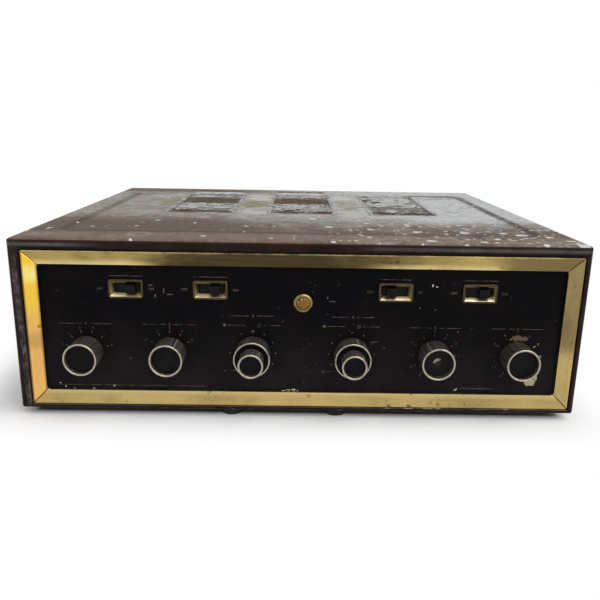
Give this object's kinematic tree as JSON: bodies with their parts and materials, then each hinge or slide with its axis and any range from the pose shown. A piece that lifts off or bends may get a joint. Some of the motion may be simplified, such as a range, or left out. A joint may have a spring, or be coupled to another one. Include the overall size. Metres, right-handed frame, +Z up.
{
  "type": "tube integrated amplifier",
  "caption": "Stereo tube integrated amplifier: brown sheet-steel case with perforated top vents, brass-toned front frame, black panel, turning knobs, concentric tone knobs and slide switches.",
  "frame": {"origin": "bottom centre of the bounding box, on the surface the feet stand on", "axes": "+X to the right seen from the front, -Y out of the front panel, +Z up"},
  "size_m": [0.398, 0.3644, 0.129],
  "materials": {
    "case_paint": "aged satin brown paint",
    "screen_paint": "rusted brown paint",
    "plate_steel": "plated, dull",
    "foot_rubber": "matte",
    "screw_steel": "plated",
    "bezel_brass": "tarnished gold anodising",
    "panel_print": "satin near-black",
    "trough_brass": "worn gold",
    "switch_steel": "plated",
    "slide_plastic": "black",
    "pilot_brass": "worn",
    "jewel_amber": "faceted amber",
    "lamp_nickel": "dull nickel",
    "knob_plastic": "aged brown-black",
    "ring_metal": "bright turned",
    "shaft_steel": "turned",
    "sleeve_brass": "turned",
    "wafer_phenolic": "paper laminate",
    "pot_can": "dull",
    "nut_nickel": "nickel",
    "chassis_steel": "zinc plated, dull",
    "core_iron": "varnished laminations",
    "iron_black": "black enamel",
    "can_aluminium": "drawn",
    "tube_glass": "clear",
    "electrode_metal": "blackened",
    "socket_phenolic": "brown phenolic",
    "bakelite": "black"
  },
  "bodies": {
    "cabinet": {"case_wrap": "case_paint", "vent_screens": "screen_paint", "bottom_plate": "plate_steel", "subpanel": "plate_steel", "rubber_feet": "foot_rubber", "cord_grommet": "foot_rubber", "case_screws": "screw_steel", "chassis_screws": "screw_steel", "bezel_rails": "bezel_brass", "front_panel": "panel_print", "switch_frames": "trough_brass", "switch_bodies": "switch_steel", "pilot_ring": "pilot_brass", "pilot_jewel": "jewel_amber", "pilot_lamp": "lamp_nickel", "rotary_switches": "wafer_phenolic", "component_boards": "wafer_phenolic", "terminal_boards": "wafer_phenolic", "dual_pots": "pot_can", "single_pots": "pot_can", "control_nuts": "nut_nickel", "input_jacks": "nut_nickel", "chassis": "chassis_steel", "power_core": "core_iron", "power_covers": "iron_black", "output_transformers": "iron_black", "filter_cans": "can_aluminium", "tubes": "tube_glass", "tube_electrodes": "electrode_metal", "tube_sockets": "socket_phenolic", "fuse_holder": "bakelite", "ac_outlets": "bakelite"},
    "selector": {"selector_knob": "knob_plastic", "selector_rim": "ring_metal", "selector_shaft": "shaft_steel"},
    "mode": {"mode_knob": "knob_plastic", "mode_rim": "ring_metal", "mode_shaft": "shaft_steel"},
    "tone_a_outer": {"tone_a_outer_knob": "knob_plastic", "tone_a_outer_rim": "ring_metal", "tone_a_sleeve": "sleeve_brass"},
    "tone_a_inner": {"tone_a_inner_knob": "knob_plastic", "tone_a_inner_rim": "ring_metal", "tone_a_shaft": "shaft_steel"},
    "tone_b_outer": {"tone_b_outer_knob": "knob_plastic", "tone_b_outer_rim": "ring_metal", "tone_b_sleeve": "sleeve_brass"},
    "tone_b_inner": {"tone_b_inner_knob": "knob_plastic", "tone_b_inner_rim": "ring_metal", "tone_b_shaft": "shaft_steel"},
    "balance": {"balance_knob": "knob_plastic", "balance_rim": "ring_metal", "balance_shaft": "shaft_steel"},
    "loudness": {"loudness_knob": "knob_plastic", "loudness_rim": "ring_metal", "loudness_shaft": "shaft_steel"},
    "slide_far_left": {"slide_far_left": "slide_plastic"},
    "slide_near_left": {"slide_near_left": "slide_plastic"},
    "slide_near_right": {"slide_near_right": "slide_plastic"},
    "slide_far_right": {"slide_far_right": "slide_plastic"}
  },
  "joints": [
    {"name": "selector_turn", "type": "hinge", "parent": "cabinet", "child": "selector", "pos_m": [-0.1505, -0.15975, 0.0472], "axis": [0, 1, 0], "range_deg": [0, 150]},
    {"name": "mode_turn", "type": "hinge", "parent": "cabinet", "child": "mode", "pos_m": [-0.09185, -0.15975, 0.0472], "axis": [0, 1, 0], "range_deg": [-90, 30]},
    {"name": "tone_a_outer_turn", "type": "hinge", "parent": "cabinet", "child": "tone_a_outer", "pos_m": [-0.0332, -0.15975, 0.0472], "axis": [0, 1, 0], "range_deg": [-50, 250]},
    {"name": "tone_a_inner_turn", "type": "hinge", "parent": "cabinet", "child": "tone_a_inner", "pos_m": [-0.0332, -0.15975, 0.0472], "axis": [0, 1, 0], "range_deg": [-190, 110]},
    {"name": "tone_b_outer_turn", "type": "hinge", "parent": "cabinet", "child": "tone_b_outer", "pos_m": [0.0372, -0.15975, 0.0472], "axis": [0, 1, 0], "range_deg": [-165, 135]},
    {"name": "tone_b_inner_turn", "type": "hinge", "parent": "cabinet", "child": "tone_b_inner", "pos_m": [0.0372, -0.15975, 0.0472], "axis": [0, 1, 0], "range_deg": [-200, 100]},
    {"name": "balance_turn", "type": "hinge", "parent": "cabinet", "child": "balance", "pos_m": [0.09585, -0.15975, 0.0472], "axis": [0, 1, 0], "range_deg": [-120, 180]},
    {"name": "loudness_turn", "type": "hinge", "parent": "cabinet", "child": "loudness", "pos_m": [0.1545, -0.15975, 0.0472], "axis": [0, 1, 0], "range_deg": [0, 300]},
    {"name": "slide_far_left_move", "type": "slide", "parent": "cabinet", "child": "slide_far_left", "axis": [1, 0, 0], "range_m": [-0.006, 0]},
    {"name": "slide_near_left_move", "type": "slide", "parent": "cabinet", "child": "slide_near_left", "axis": [1, 0, 0], "range_m": [-0.006, 0]},
    {"name": "slide_near_right_move", "type": "slide", "parent": "cabinet", "child": "slide_near_right", "axis": [1, 0, 0], "range_m": [0, 0.006]},
    {"name": "slide_far_right_move", "type": "slide", "parent": "cabinet", "child": "slide_far_right", "axis": [1, 0, 0], "range_m": [-0.006, 0]}
  ]
}
